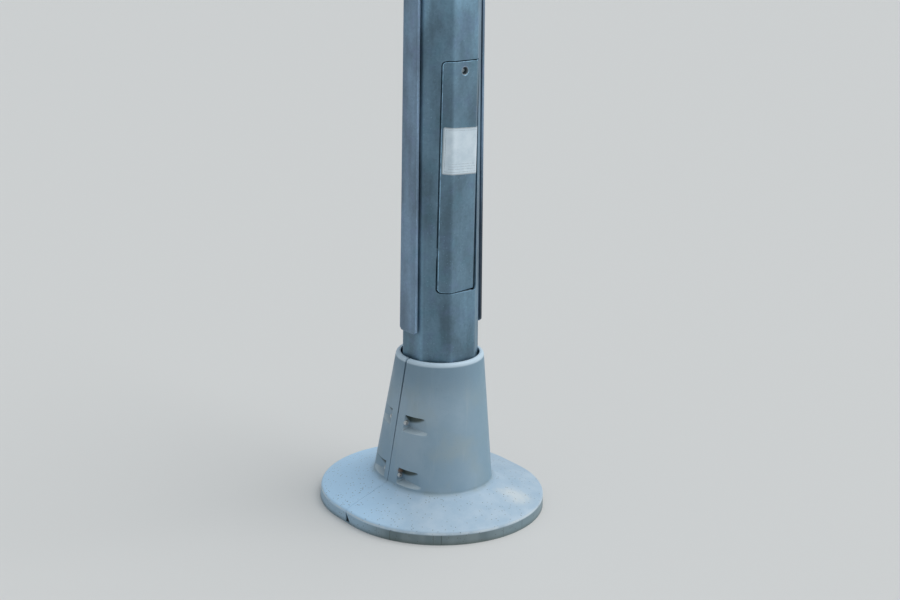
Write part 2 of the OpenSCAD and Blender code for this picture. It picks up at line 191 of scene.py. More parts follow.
class Recipe:
    """Adds nodes to one tree and links them. A node given as a value stands for its first output."""

    def __init__(self, tree):
        self.tree = tree

    def add(self, kind, settings=None, **inputs):
        node = self.tree.nodes.new(kind)
        for name, value in (settings or {}).items():
            setattr(node, name, value)
        for name, value in inputs.items():
            self.set(node, name.replace("_", " "), value)
        return node

    def set(self, node, name, value):
        socket = node.inputs[name]
        if isinstance(value, bpy.types.Node):
            value = value.outputs[0]
        if isinstance(value, bpy.types.NodeSocket):
            self.tree.links.new(value, socket)
        else:
            socket.default_value = (*value, 1.0) if socket.type == "RGBA" else value

    def math(self, operation, *values):
        node = self.add("ShaderNodeMath", {"operation": operation})
        for i, value in enumerate(values):
            self.set(node, i, value)
        return node

    def times(self, first, *others):
        for other in others:
            first = self.math("MULTIPLY", first, other)
        return first

    def plus(self, first, *others):
        for other in others:
            first = self.math("ADD", first, other)
        return first

    def minus(self, a, b):
        return self.math("SUBTRACT", a, b)

    def larger(self, a, b):
        return self.math("MAXIMUM", a, b)

    def over(self, value, limit):
        return self.math("GREATER_THAN", value, limit)

    def under(self, value, limit):
        return self.math("LESS_THAN", value, limit)

    def apart(self, a, b):
        return self.math("ABSOLUTE", self.minus(a, b))

    def split(self, vector):
        return self.add("ShaderNodeSeparateXYZ", Vector=vector).outputs

    def distance(self, where, point):
        node = self.add("ShaderNodeVectorMath", {"operation": "DISTANCE"})
        self.set(node, 0, where)
        self.set(node, 1, point)
        return node.outputs["Value"]

    def span(self, value, low, high, to_low=0.0, to_high=1.0, smooth=True):
        """Ramp between two values, falling where the first one is the larger."""
        kind = {"interpolation_type": "SMOOTHSTEP" if smooth else "LINEAR"}
        return self.add("ShaderNodeMapRange", kind, Value=value, From_Min=low, From_Max=high, To_Min=to_low,
                        To_Max=to_high)

    def band(self, value, rise, fall):
        """A ramp up and a ramp down again."""
        return self.times(self.span(value, *rise), self.span(value, fall[1], fall[0]))

    def blend(self, factor, a, b, kind="MIX"):
        node = self.add("ShaderNodeMix", {"data_type": "RGBA", "blend_type": kind})
        for i, given in ((0, factor), (6, a), (7, b)):
            self.set(node, i, given)
        return node.outputs[2]

    def tint(self, base, tone, value, start, end, most=1.0):
        """Blends a tone over the base while a value passes from start to end, up to a share."""
        return self.blend(self.span(value, start, end, 0.0, most), base, tone)

    def stretched(self, where, scale):
        return self.add("ShaderNodeMapping", Vector=where, Scale=scale)

    def noise(self, where, scale, detail=2.0, roughness=0.5, stretch=None):
        if stretch is not None:
            where = self.stretched(where, stretch)
        return self.add("ShaderNodeTexNoise", Vector=where, Scale=scale, Detail=detail, Roughness=roughness)

    def cells(self, where, scale):
        return self.add("ShaderNodeTexVoronoi", {"feature": "F1"}, Vector=where, Scale=scale, Randomness=1.0)

    def spots(self, where, scale, limit, start, end, most=1.0, extra=None, channel=0):
        """Round spots in those cells whose random number, and what is added to it, is over a limit."""
        cells = self.cells(where, scale)
        number = self.add("ShaderNodeSeparateColor", Color=cells.outputs["Color"]).outputs[channel]
        if extra is not None:
            number = self.plus(number, extra)
        spot = self.span(cells.outputs["Distance"], start, end, 0.0, most)
        return self.times(self.over(number, limit), spot)


def shaded(tone, *shares):
    """The tone times one share, or times a share for each of red, green and blue."""
    return tuple(c * share for c, share in zip(tone, shares * 3 if len(shares) == 1 else shares))


def new_material(name):
    material = bpy.data.materials.new(name)
    material.use_nodes = True
    recipe = Recipe(material.node_tree)
    shader = next(n for n in material.node_tree.nodes if n.type == "BSDF_PRINCIPLED")
    where = recipe.add("ShaderNodeTexCoord").outputs["Object"]
    return material, recipe, shader, where


def bumped(recipe, shader, height, strength, distance):
    bump = recipe.add("ShaderNodeBump", Height=height, Strength=strength, Distance=distance)
    recipe.set(shader, "Normal", bump)


# Shares of the zinc's tone: a violet and a teal cast, and how dark the painted shade on a bar's front is
VIOLET_CAST = (1.08, 0.94, 1.12)
TEAL_CAST = (0.82, 1.04, 1.02)
FRONT_SHADE_DARK = 0.22
FRONT_SHADE_STARTS = 0.0006
FRONT_SHADE_ENDS = 0.0025

# Painted light and shade on the zinc: darker beyond the front flat's left bend and lighter again on the left
# side flat; and paler towards the upper part.
# Each is the start and the end of a ramp in metres and the shares of the tone there
FRONT_FLAT_LIGHT = (-0.039, -0.030, 0.89, 1.05)
SIDE_FLAT_LIGHT = (-0.079, -0.085, 1.0, 1.34)
PALER_TOP = (1.02, 1.24, 1.0, 1.38)


def galvanised(name, tone, mottle, streak, rough=0.5, metal=0.45, rub_and_shine=0.85, lit_flats_paler_top=False, shaded_front=None):
    """Weathered hot-dip zinc: soft clouds, small crystals, run marks down the height and a few specks.

    Where asked for, painted light and shade make the zinc darker beyond the front flat's left bend and
    lighter again on the left side flat, and the zinc is paler towards the top. Where a front depth is given,
    what lies in front of it is painted shade."""
    material, r, shader, where = new_material(name)
    x, y, z = r.split(where)
    clouds = r.noise(where, 14.0, 4.0, 0.55, (1, 1, 0.45))
    base = r.tint(shaded(tone, 1 - mottle), shaded(tone, 1 + mottle), clouds, 0.36, 0.64)
    base = r.tint(base, shaded(tone, *VIOLET_CAST), r.noise(where, 31.0, 3.0), 0.5, 0.72, 0.35)
    base = r.tint(base, shaded(tone, *TEAL_CAST), r.noise(where, 23.0, 3.0), 0.52, 0.74, 0.35)

    crystal = r.cells(where, 210.0)
    grain = r.span(crystal.outputs["Color"], 0.1, 0.9, 0.93, 1.07, smooth=False)
    runs = r.noise(where, 1.0, 3.0, 0.6, (55, 55, 2.4))
    value = r.times(grain, r.span(runs, 0.34, 0.68, 1 - streak, 1 + streak))
    speck = r.span(r.cells(where, 140.0).outputs["Distance"], 0.05, 0.14, 0.62, 1.0)
    rare = r.over(r.noise(where, 26.0, 1.0), 0.6)
    value = r.times(value, r.blend(rare, (1, 1, 1), speck))
    # Painted light and shade on the flats, and paler towards the top
    if lit_flats_paler_top:
        value = r.times(value, r.span(x, *FRONT_FLAT_LIGHT), r.span(x, *SIDE_FLAT_LIGHT), r.span(z, *PALER_TOP))
    gathered = r.times(r.span(r.noise(where, 8.0, 2.0), 0.5, 0.62), 0.16)
    flecks = r.spots(where, 190.0, 0.985, 0.36, 0.16, 0.30, extra=gathered)
    # Rounded edges made bright: partly rubbed wear, partly a painted highlight
    mark = r.add("ShaderNodeAttribute", {"attribute_name": "worn_highlit_edge"}).outputs["Fac"]
    rubbed_and_highlit = r.times(mark, r.span(r.noise(where, 60.0, 3.0), 0.34, 0.58, 0.2 * rub_and_shine, rub_and_shine))
    value = r.plus(value, flecks, rubbed_and_highlit)
    # Painted shade: what lies in front of the given depth is darkened
    if shaded_front is not None:
        value = r.times(value, r.span(y, shaded_front + FRONT_SHADE_STARTS, shaded_front + FRONT_SHADE_ENDS, FRONT_SHADE_DARK, 1.0))
    grey = r.add("ShaderNodeCombineColor", Red=value, Green=value, Blue=value)
    r.set(shader, "Base Color", r.blend(1.0, base, grey, "MULTIPLY"))
    r.set(shader, "Roughness", r.span(clouds, 0.3, 0.7, rough - 0.07, rough + 0.09))
    r.set(shader, "Metallic", metal)
    fine = r.noise(where, 420.0, 2.0)
    bumped(r, shader, r.plus(r.times(crystal.outputs["Distance"], 0.35), r.times(fine, 0.5)), 0.18, 0.0006)
    return material


BAR_TONE = (0.190, 0.282, 0.384)
steel = galvanised("zinc_shaft", (0.130, 0.222, 0.296), 0.26, 0.06, lit_flats_paler_top=True)
bar_steel = galvanised("zinc_bars", BAR_TONE, 0.22, 0.07)
# The right bar's front is darkened as painted shade, and its edges get little painted shine
shaded_front_bar_steel = galvanised("zinc_bar_shaded_front", BAR_TONE, 0.22, 0.07, rub_and_shine=0.3,
                             shaded_front=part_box("side_bar_right")[0].y)
# The door's edges get a strong painted highlight on top of their wear
door_steel = galvanised("zinc_door", (0.128, 0.218, 0.290), 0.20, 0.04, 0.46, rub_and_shine=2.6, lit_flats_paler_top=True)
inner_steel = galvanised("zinc_inside", (0.165, 0.235, 0.285), 0.16, 0.06, 0.58)
weld_steel = galvanised("zinc_welds", (0.22, 0.28, 0.32), 0.18, 0.03, 0.48)
bolt_zinc = galvanised("zinc_bolts", (0.36, 0.38, 0.38), 0.1, 0.02, 0.36, 0.75)
lock_metal = galvanised("lock_metal", (0.29, 0.35, 0.39), 0.16, 0.02, 0.4, 0.7)
screw_metal = galvanised("screw_zinc", (0.52, 0.54, 0.54), 0.2, 0.02, 0.36, 0.6)

# Colours of the cover's cone
CONE_DEEP = (0.262, 0.378, 0.470)
CONE_PALE = (0.318, 0.428, 0.515)
CONE_EARTHY = (0.335, 0.405, 0.420)
CONE_WASHED = (0.42, 0.50, 0.54)
CONE_TOP = (0.165, 0.262, 0.345)
CONE_RIGHT_SHADE = (0.185, 0.310, 0.400)
LIP_PALER = (0.54, 0.67, 0.77)
# Painted shadow in the pockets and painted light on their ledges
POCKET_SHADOW = (0.035, 0.05, 0.035)
POCKET_LEDGE_LIGHT = (0.47, 0.56, 0.61)
RUST = (0.30, 0.145, 0.07)

# Colours of its skirt and of the upright rim
SKIRT_DEEP = (0.350, 0.475, 0.590)
SKIRT_PALE = (0.425, 0.535, 0.635)
SKIRT_LEFT_LIT = (0.450, 0.670, 0.880)
SKIRT_WARM_HIGHLIGHT = (0.66, 0.69, 0.68)
CREASE_DARK = (0.22, 0.28, 0.30)
DOT_DARK = (0.09, 0.10, 0.10)
ARC_DARK = (0.16, 0.21, 0.22)
EDGE_PALE = (0.60, 0.69, 0.75)
RIM_DEEP = (0.130, 0.182, 0.200)
RIM_PALE = (0.200, 0.255, 0.270)
RIM_LEFT_LIT = (0.370, 0.540, 0.680)
RIM_RIGHT_LIT = (0.200, 0.285, 0.330)
RIM_RUNS = (0.08, 0.11, 0.11)
RIM_FOOT = (0.10, 0.12, 0.10)

# Heights in metres where the cover's colours change, each as the start and the end of a ramp
CONE_TOP_FADE = (0.26, 0.37)
LIP_FADE = (0.3765, 0.3815)
SKIRT_FADE = (0.0745, 0.0655)
CREASE = ((0.0660, 0.0700), (0.0735, 0.0800))
RIM_FADE = (0.0268, 0.0225)
RIM_EDGE = ((0.0238, 0.0262), (0.0285, 0.0312))

WARM_HIGHLIGHT_SPOT = (0.100, -0.169, 0.045)
RUST_ABOVE_SCREW = 0.004
RING_PITCH = 0.0125


def cone_colour(r, where, x, z, clouds):
    base = r.tint(CONE_DEEP, CONE_PALE, clouds, 0.38, 0.64)
    base = r.tint(base, CONE_EARTHY, r.noise(where, 11.0, 3.0), 0.48, 0.70, 0.5)
    base = r.tint(base, CONE_WASHED, r.noise(where, 1.0, 3.0, 0.6, (60, 60, 5)), 0.52, 0.74, 0.22)
    base = r.tint(base, CONE_TOP, z, *CONE_TOP_FADE, 0.72)
    # Painted shade: the cone darkens towards its right side
    return r.tint(base, CONE_RIGHT_SHADE, x, -0.03, 0.09, 0.75)


def skirt_colour(r, where, dust, rear_left):
    base = r.tint(SKIRT_DEEP, SKIRT_PALE, dust, 0.34, 0.68)
    # Painted light: the skirt turns paler and bluer towards the left rear, as sky light
    base = r.tint(base, SKIRT_LEFT_LIT, rear_left, 0.03, 0.21, 0.9)
    # Painted highlight: a warm pale spot on the right of the skirt
    highlight_distance = r.plus(r.distance(where, WARM_HIGHLIGHT_SPOT), r.times(dust, 0.11))
    return r.tint(base, SKIRT_WARM_HIGHLIGHT, highlight_distance, 0.105, 0.060, 0.6)


def rim_colour(r, where, z, rear_left):
    # The upright rim is dark with dirt and painted shade
    base = r.tint(RIM_DEEP, RIM_PALE, r.noise(where, 1.0, 3.0, 0.55, (13, 13, 5)), 0.36, 0.62)
    # Painted light: the rim turns paler towards the left rear and towards the right front
    base = r.tint(base, RIM_LEFT_LIT, rear_left, 0.10, 0.21, 0.9)
    base = r.tint(base, RIM_RIGHT_LIT, rear_left, -0.08, -0.20, 0.8)
    base = r.tint(base, RIM_RUNS, r.noise(where, 1.0, 1.0, 0.5, (120, 120, 3)), 0.69, 0.73, 0.75)
    return r.tint(base, RIM_FOOT, z, 0.012, 0.0, 0.5)


def inside_cone(r, x, y, z):
    """Distance from the line between the cover's half circles, and how deep that is in the plain cone."""
    drawn = r.math("MULTIPLY_ADD", z, (COVER_TOP_SHIFT - COVER_SHIFT) / COVER_H, COVER_SHIFT * MM)
    reach = r.plus(r.larger(r.times(y, -1.0), 0.0), r.larger(r.minus(y, drawn), 0.0))
    spread = r.math("SQRT", r.plus(r.times(x, x), r.times(reach, reach)))
    narrowing = (COVER_TOP_R - COVER_CONE_R) / (COVER_H - COVER_CONE_Z)
    surface = r.math("MULTIPLY_ADD", z, narrowing, cone_r_at(0) * MM)
    return spread, r.minus(surface, spread)


def pocket_shades(r, base, z, sunk):
    """A painted shadow under each pocket's top edge, as a dark wedge, and painted light on the ledge at its
    foot.
    """
    foot = -POCKET_H * MM
    for height in SCREW_HEIGHTS:
        level = r.plus(z, -(height + POCKET_H / 2) * MM)
        # Painted shadow cast by the top edge, reaching further down where the pocket is deeper
        hidden = r.plus(level, r.times(sunk, 1.15))
        shade = r.times(r.span(sunk, 0.0010, 0.0030), r.span(hidden, -0.005, 0.002), r.under(level, 0.001))
        base = r.blend(r.times(shade, 0.92), base, POCKET_SHADOW)
        # Painted light on the upward-facing ledge
        lit_ledge = r.times(r.span(sunk, 0.0002, 0.0010), r.span(level, foot + 0.0100, foot + 0.0070),
                        r.over(level, foot - 0.0015))
        base = r.blend(r.times(lit_ledge, 0.8), base, POCKET_LEDGE_LIGHT)
    return base


def rust_at_screws(r, base, where, x, y, z):
    """Rust at the lower front screw heads, on both sides of the cover."""
    low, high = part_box("cover_screw_left_lower")
    screw = (-(low.x + high.x) / 2, low.y, high.z + RUST_ABOVE_SCREW)
    either_side = r.add("ShaderNodeCombineXYZ", X=r.math("ABSOLUTE", x), Y=y, Z=z)
    near = r.plus(r.distance(either_side, screw), r.times(r.noise(where, 180.0, 3.0), 0.012))
    return r.tint(base, RUST, near, 0.0165, 0.0085, 0.8)


def moulding(name):
    """Faded grey moulding: dusty dotted skirt with a painted highlight, a dark streaked rim with dirt and
    painted shade, a paler lip, pockets with painted shadow and light, and painted light and shade on its
    sides.
    """
    material, r, shader, where = new_material(name)
    x, y, z = r.split(where)
    clouds = r.noise(where, 7.0, 4.0, 0.55)
    dust = r.noise(where, 22.0, 5.0, 0.65)
    rear_left = r.minus(r.times(y, 0.6), r.times(x, 0.8))
    spread, sunk = inside_cone(r, x, y, z)

    base = cone_colour(r, where, x, z, clouds)
    base = r.tint(base, skirt_colour(r, where, dust, rear_left), z, *SKIRT_FADE)
    crease = r.times(r.band(z, *CREASE), r.span(dust, 0.3, 0.7, 0.0, 0.45))
    base = r.blend(crease, base, CREASE_DARK)
    base = r.tint(base, rim_colour(r, where, z, rear_left), z, *RIM_FADE)
    edge = r.times(r.band(z, *RIM_EDGE), r.span(dust, 0.35, 0.6, 0.25, 0.9))
    base = r.blend(edge, base, EDGE_PALE)
    base = r.tint(base, LIP_PALER, z, *LIP_FADE, 0.92)
    base = pocket_shades(r, base, z, sunk)
    base = rust_at_screws(r, base, where, x, y, z)

    dirty = r.plus(r.noise(where, 9.0, 2.0), r.times(x, -0.9))
    dots = r.spots(where, 165.0, 1.06, 0.30, 0.14, extra=r.times(dirty, 0.55))
    dashes = r.spots(r.stretched(where, (1.0, 0.4, 1.0)), 130.0, 1.12, 0.20, 0.09, 0.7,
                     extra=r.times(dirty, 0.5), channel=1)
    blots = r.spots(where, 62.0, 0.86, 0.11, 0.06, channel=1)
    marks = r.larger(r.times(r.larger(dots, dashes), 0.6), blots)
    most_on_skirt = r.plus(r.span(z, 0.074, 0.066), 0.12)
    base = r.blend(r.times(marks, most_on_skirt), base, DOT_DARK)
    rings = r.math("SINE", r.times(spread, 2 * math.pi / RING_PITCH))
    right_rear = r.times(r.span(x, 0.09, 0.16), r.span(y, -0.02, 0.05))
    arcs = r.times(r.span(rings, 0.93, 0.995), r.span(z, 0.064, 0.058), right_rear,
                   r.span(dust, 0.42, 0.60, 0.0, 0.42))
    base = r.blend(arcs, base, ARC_DARK)
    r.set(shader, "Base Color", base)
    r.set(shader, "Roughness", r.span(dust, 0.3, 0.7, 0.42, 0.62))

    ripples = r.times(r.span(rings, 0.86, 1.0), r.span(clouds, 0.44, 0.6))
    height = r.plus(r.times(r.noise(where, 900.0, 2.0), 0.10), r.times(r.noise(where, 15.0, 2.0), 1.1),
                    r.times(ripples, -0.10), r.times(blots, -0.2))
    bumped(r, shader, height, 0.35, 0.0012)
    return material


# Colours of the label, and its frame and ruled lines as shares of its width
FILM_DEEP = (0.58, 0.69, 0.77)
FILM_PALE = (0.69, 0.79, 0.86)
FILM_LINE = (0.20, 0.25, 0.30)
FILM_GRIME = (0.27, 0.31, 0.33)
FILM_FLECK = (0.25, 0.27, 0.27)
FRAME_OUT = 0.442
FRAME_HALF = 0.0035
RULE_LEVELS = (0.12, 0.175, 0.23)
RULE_HALF = 0.0028
RULE_REACH = 0.36


def film_on_door(name):
    """White film with soft wrinkles, grubby edges, a thin frame and a few empty ruled lines."""
    material, r, shader, where = new_material(name)
    u, v, _ = r.split(r.add("ShaderNodeUVMap", {"uv_map": "label_uv"}))
    across = r.apart(u, 0.5)
    out = r.larger(across, r.apart(v, 0.5))
    stain = r.noise(where, 34.0, 5.0, 0.6)
    base = r.tint(FILM_DEEP, FILM_PALE, stain, 0.35, 0.68)
    line = r.under(r.apart(out, FRAME_OUT), FRAME_HALF)
    for level in RULE_LEVELS:
        rule = r.times(r.under(r.apart(v, level), RULE_HALF), r.under(across, RULE_REACH))
        line = r.larger(line, rule)
    faded = r.span(r.noise(where, 260.0, 3.0), 0.34, 0.5, 0.1, 0.7)
    base = r.blend(r.times(line, faded), base, FILM_LINE)
    grubby = r.times(r.span(out, 0.455, 0.5), r.span(stain, 0.3, 0.65, 0.25, 0.9))
    base = r.blend(grubby, base, FILM_GRIME)
    base = r.blend(r.times(r.spots(where, 420.0, 0.93, 0.3, 0.12), 0.5), base, FILM_FLECK)
    r.set(shader, "Base Color", base)
    r.set(shader, "Roughness", r.span(stain, 0.3, 0.7, 0.30, 0.48))
    bumped(r, shader, r.noise(where, 1.0, 2.0, 0.5, (26, 26, 70)), 0.35, 0.0012)
    return material


cover_material = moulding("cover_moulding")
film = film_on_door("label_film")


def new_object(name, points, faces, material):
    """A plain mesh object from points in millimetres."""
    mesh = bpy.data.meshes.new(name)
    mesh.from_pydata([(x * MM, y * MM, z * MM) for x, y, z in points], [], faces)
    mesh.validate()
    mesh.materials.append(material)
    return linked(name, mesh)


def grid_faces(rows, columns, closed_rows=False, closed_columns=False):
    """Faces between the points of a grid, which may close on itself in either direction."""
    faces = []
    for j in range(rows if closed_rows else rows - 1):
        this, after = j * columns, (j + 1) % rows * columns
        for i in range(columns if closed_columns else columns - 1):
            k = (i + 1) % columns
            faces.append((this + i, this + k, after + k, after + i))
    return faces


def turns(steps):
    """Angles of one full turn."""
    return [2 * math.pi * i / steps for i in range(steps)]


def settled(obj):
    """Turns the object's live modifiers into plain mesh."""
    bpy.context.view_layer.update()
    graph = bpy.context.evaluated_depsgraph_get()
    mesh = bpy.data.meshes.new_from_object(obj.evaluated_get(graph), preserve_all_data_layers=True,
                                           depsgraph=graph)
    obj.modifiers.clear()
    old = obj.data
    obj.data = mesh
    if old.users == 0:
        bpy.data.meshes.remove(old)
    return obj


def modified(obj, name, kind, **settings):
    """Applies one modifier with its settings."""
    modifier = obj.modifiers.new(name, kind)
    for title, value in settings.items():
        setattr(modifier, title, value)
    return settled(obj)


@contextmanager
def mesh_work(obj):
    """The object's mesh for editing, which is written back at the end."""
    work = bmesh.new()
    work.from_mesh(obj.data)
    yield work
    work.to_mesh(obj.data)
    work.free()


def cleaned(obj, merge=0.02):
    """Merges points closer than this in millimetres and turns the faces outwards."""
    with mesh_work(obj) as work:
        bmesh.ops.remove_doubles(work, verts=work.verts, dist=merge * MM)
        bmesh.ops.dissolve_degenerate(work, edges=work.edges, dist=merge * MM)
        bmesh.ops.recalc_face_normals(work, faces=work.faces)
    return obj


def smoothed(obj, angle=33.0):
    """Smooth shading with crisp edges above an angle, and flats that stay flat beside their bends."""
    obj.data.shade_smooth()
    obj.data.set_sharp_from_angle(angle=math.radians(angle))
    return modified(obj, "even_flats", "WEIGHTED_NORMAL", keep_sharp=True, weight=80)


def eased(obj, width, segments=3):
    """Rounds the sharp edges by a width in millimetres."""
    return modified(obj, "eased_edges", "BEVEL", width=width * MM, segments=segments, limit_method="ANGLE",
                    angle_limit=EDGE_ANGLE, use_clamp_overlap=True)


def worn_and_highlit(obj):
    """Marks the points inside the rounded edges, where the zinc is made bright, partly as rubbed wear and
    partly as a painted highlight.
    """
    with mesh_work(obj) as work:
        mark = work.verts.layers.float.new("worn_highlit_edge")
        thin = [f.calc_area() < WORN_HIGHLIT_WIDTH * MM * max(e.calc_length() for e in f.edges) for f in work.faces]
        work.faces.index_update()
        for v in work.verts:
            v[mark] = float(all(thin[f.index] for f in v.link_faces))
    return obj


def each_moved(obj, move):
    """Moves every point of a mesh by a rule."""
    for v in obj.data.vertices:
        v.co = move(v.co)
    return obj


def cut(obj, tool, operation="DIFFERENCE"):
    """Cuts one solid with another, which is then removed."""
    modified(obj, "cut", "BOOLEAN", operation=operation, solver="EXACT", object=tool)
    bpy.data.objects.remove(tool)


def joined(first, *others):
    """Adds the meshes of other objects to the first one."""
    with mesh_work(first) as work:
        for other in others:
            work.from_mesh(other.data)
            bpy.data.objects.remove(other)
    return first


def placed(obj, body, slot, *nodes):
    """Says which body a piece moves with and which nodes it stands for, which it hides. The slot is not used.
    """
    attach(obj, body)
    if nodes:
        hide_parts(*nodes)


def softened(node, material, width, body="mast", slot="galvanised_steel", move=None):
    """A merged copy of a CAD node with its edges eased, which stands for the node."""
    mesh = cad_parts[node].data.copy()
    mesh.materials.clear()
    mesh.materials.append(material)
    obj = linked(node + "_eased", mesh)
    with mesh_work(obj) as work:
        bmesh.ops.remove_doubles(work, verts=work.verts, dist=0.01 * MM)
        bmesh.ops.dissolve_limit(work, angle_limit=math.radians(0.5), verts=work.verts, edges=work.edges)
    worn_and_highlit(eased(obj, width))
    if move:
        each_moved(obj, move)
    placed(smoothed(obj), body, slot, node)


def lathe(name, profile, material, centre, axis, steps=40):
    """Turned solid along an axis, from rows of a radius, or a radius for every step, and a height."""
    points = []
    for radius, height in profile:
        radii = radius if isinstance(radius, list) else [radius] * steps
        points += [centre + axis @ Vector((r * math.cos(a), r * math.sin(a), height))
                   for r, a in zip(radii, turns(steps))]
    faces = grid_faces(len(profile), steps, closed_columns=True)
    return cleaned(new_object(name, points, faces, material))


def prism(name, outline, near, far, axis="Y"):
    """Solid between two depths along Y or X, with its outline given in the other two directions."""
    n = len(outline)
    points = [(a, depth, b) if axis == "Y" else (depth, a, b) for depth in (near, far) for a, b in outline]
    faces = [tuple(range(n)), tuple(range(2 * n - 1, n - 1, -1))]
    faces += [(i, i + n, (i + 1) % n + n, (i + 1) % n) for i in range(n)]
    return cleaned(new_object(name, points, faces, inner_steel))


def around(u, z, offset=0.0):
    """Point on the front of the shaft, u along its outline from the middle of the door's flat."""
    half = af_at(z) / 2 + offset
    r = bend_at(z, offset)
    flat = (half - r) * math.tan(CORNER)
    d = abs(u)
    if d <= flat:
        x, y = d, half
    elif d <= flat + r * BEND:
        a = (d - flat) / r
        x, y = flat + r * math.sin(a), half - r + r * math.cos(a)
    else:
        s = (d - flat - r * BEND) * math.sqrt(0.5)
        x, y = flat + r * math.sin(BEND) + s, half - r + r * math.cos(BEND) - s
    return math.copysign(x, u), -y, z


def door_middle(z):
    return -DOOR_SHIFT - DOOR_SWAY * (DOOR_TOP - z) / DOOR_H


def door_outline(grow, steps=8):
    """Outline of the door seen from the front, grown by an amount."""
    lean = math.degrees(math.atan(DOOR_SWAY / DOOR_H))
    r = DOOR_CORNER + grow
    top, foot = DOOR_TOP - DOOR_CORNER, DOOR_Z + DOOR_CORNER
    points = []
    for side, z, start, end in ((1, top, -lean, 90), (-1, top, 90, 180 - lean),
                                (-1, foot, 180 - lean, 270), (1, foot, 270, 360 - lean)):
        x = door_middle(z) + side * (DOOR_W / 2 - DOOR_CORNER)
        for i in range(steps + 1):
            a = math.radians(start + (end - start) * i / steps)
            points.append((x + r * math.cos(a), z + r * math.sin(a)))
    return points


def leaf_turn(co):
    """Where a point of the leaf goes with its twist, in metres."""
    share = min(max((LOCK_Z * MM - co[2]) / ((LOCK_Z - DOOR_Z) * MM), 0.0), 1.0)
    return Vector((co[0], co[1] + share * (LEAF_SUNK * MM + LEAF_TWIST * co[0]), co[2]))


def new_tree(name, sizes):
    """A geometry tree with named inputs, whole numbers among them."""
    tree = bpy.data.node_groups.new(name, "GeometryNodeTree")
    tree.interface.new_socket(name="Geometry", in_out="INPUT", socket_type="NodeSocketGeometry")
    for title, value in sizes.items():
        kind = "NodeSocketInt" if isinstance(value, int) else "NodeSocketFloat"
        tree.interface.new_socket(name=title, in_out="INPUT", socket_type=kind).default_value = value
    tree.interface.new_socket(name="Finish", in_out="INPUT", socket_type="NodeSocketMaterial")
    tree.interface.new_socket(name="Geometry", in_out="OUTPUT", socket_type="NodeSocketGeometry")
    return Recipe(tree), tree.nodes.new("NodeGroupInput").outputs


def closed_tree(r, given, geometry):
    real = r.add("GeometryNodeRealizeInstances", Geometry=geometry)
    finish = r.add("GeometryNodeSetMaterial", Geometry=real, Material=given["Finish"])
    r.add("NodeGroupOutput", Geometry=finish)
    return r.tree


def steps_along(r, given):
    """Points at a pitch along the given path."""
    curve = r.add("GeometryNodeMeshToCurve", Mesh=given["Geometry"])
    return r.add("GeometryNodeResampleCurve", {"mode": "LENGTH"}, Curve=curve, Length=given["Pitch"])


def turned_along(r, axis):
    """The turn that lays an axis along the path."""
    along = r.add("GeometryNodeInputTangent")
    return r.add("FunctionNodeAlignRotationToVector", {"axis": axis}, Vector=along)


def circle(r, points, radius):
    return r.add("GeometryNodeCurvePrimitiveCircle", {"mode": "RADIUS"}, Resolution=points, Radius=radius)


def skin_tree():
    """Tapered octagonal skin with rounded bends, from one height to another."""
    r, given = new_tree("octagonal_skin", {"Foot Width": FOOT_AF * MM, "Taper": TAPER, "Low": 0.0,
                                           "High": 1.0, "Bend Radius": BEND_R * MM, "Bend Points": 9,
                                           "Rows": 2})
    radius = r.math("DIVIDE", given["Foot Width"], 2 * math.cos(CORNER))
    turned = r.add("GeometryNodeTransform", Geometry=circle(r, 8, radius), Rotation=(0, 0, CORNER))
    outline = r.add("GeometryNodeFilletCurve", {"mode": "POLY"}, Curve=turned,
                    Count=given["Bend Points"], Radius=given["Bend Radius"])
    low = r.add("ShaderNodeCombineXYZ", Z=given["Low"])
    high = r.add("ShaderNodeCombineXYZ", Z=given["High"])
    line = r.add("GeometryNodeCurvePrimitiveLine", Start=low, End=high)
    path = r.add("GeometryNodeResampleCurve", {"mode": "COUNT"}, Curve=line, Count=given["Rows"])
    height = r.split(r.add("GeometryNodeInputPosition"))[2]
    loss = r.math("DIVIDE", r.times(given["Taper"], height), given["Foot Width"])
    skin = r.add("GeometryNodeCurveToMesh", Curve=path, Scale=r.minus(1.0, loss), Profile_Curve=outline)
    return closed_tree(r, given, skin)


def bead_tree():
    """Weld bead: flattened ripples that follow each other along a path."""
    r, given = new_tree("weld_bead", {"Ripple Width": 0.005, "Pitch": 0.003, "Unevenness": 0.16, "Seed": 1})
    radius = r.times(given["Ripple Width"], 0.5)
    ripple = r.add("GeometryNodeMeshUVSphere", Segments=8, Rings=5, Radius=radius)
    uneven = r.add("FunctionNodeRandomValue", {"data_type": "FLOAT"}, Seed=given["Seed"])
    r.set(uneven, 2, r.minus(1.0, given["Unevenness"]))
    r.set(uneven, 3, r.plus(1.0, given["Unevenness"]))
    size = r.add("ShaderNodeVectorMath", {"operation": "SCALE"}, Scale=uneven.outputs[1])
    r.set(size, 0, (0.62, 1.0, 0.62))
    beads = r.add("GeometryNodeInstanceOnPoints", Points=steps_along(r, given), Instance=ripple,
                  Rotation=turned_along(r, "X"), Scale=size)
    return closed_tree(r, given, beads)


def thread_tree():
    """Screw thread: rings at a pitch along a path."""
    r, given = new_tree("thread_rings", {"Pitch": 0.0015, "Radius": 0.005, "Ridge": 0.0006})
    hoop = r.add("GeometryNodeCurveToMesh", Curve=circle(r, 28, given["Radius"]),
                 Profile_Curve=circle(r, 4, given["Ridge"]))
    rings = r.add("GeometryNodeInstanceOnPoints", Points=steps_along(r, given), Instance=hoop,
                  Rotation=turned_along(r, "Z"))
    return closed_tree(r, given, rings)


octagonal_skin = skin_tree()
weld_bead = bead_tree()
thread_rings = thread_tree()


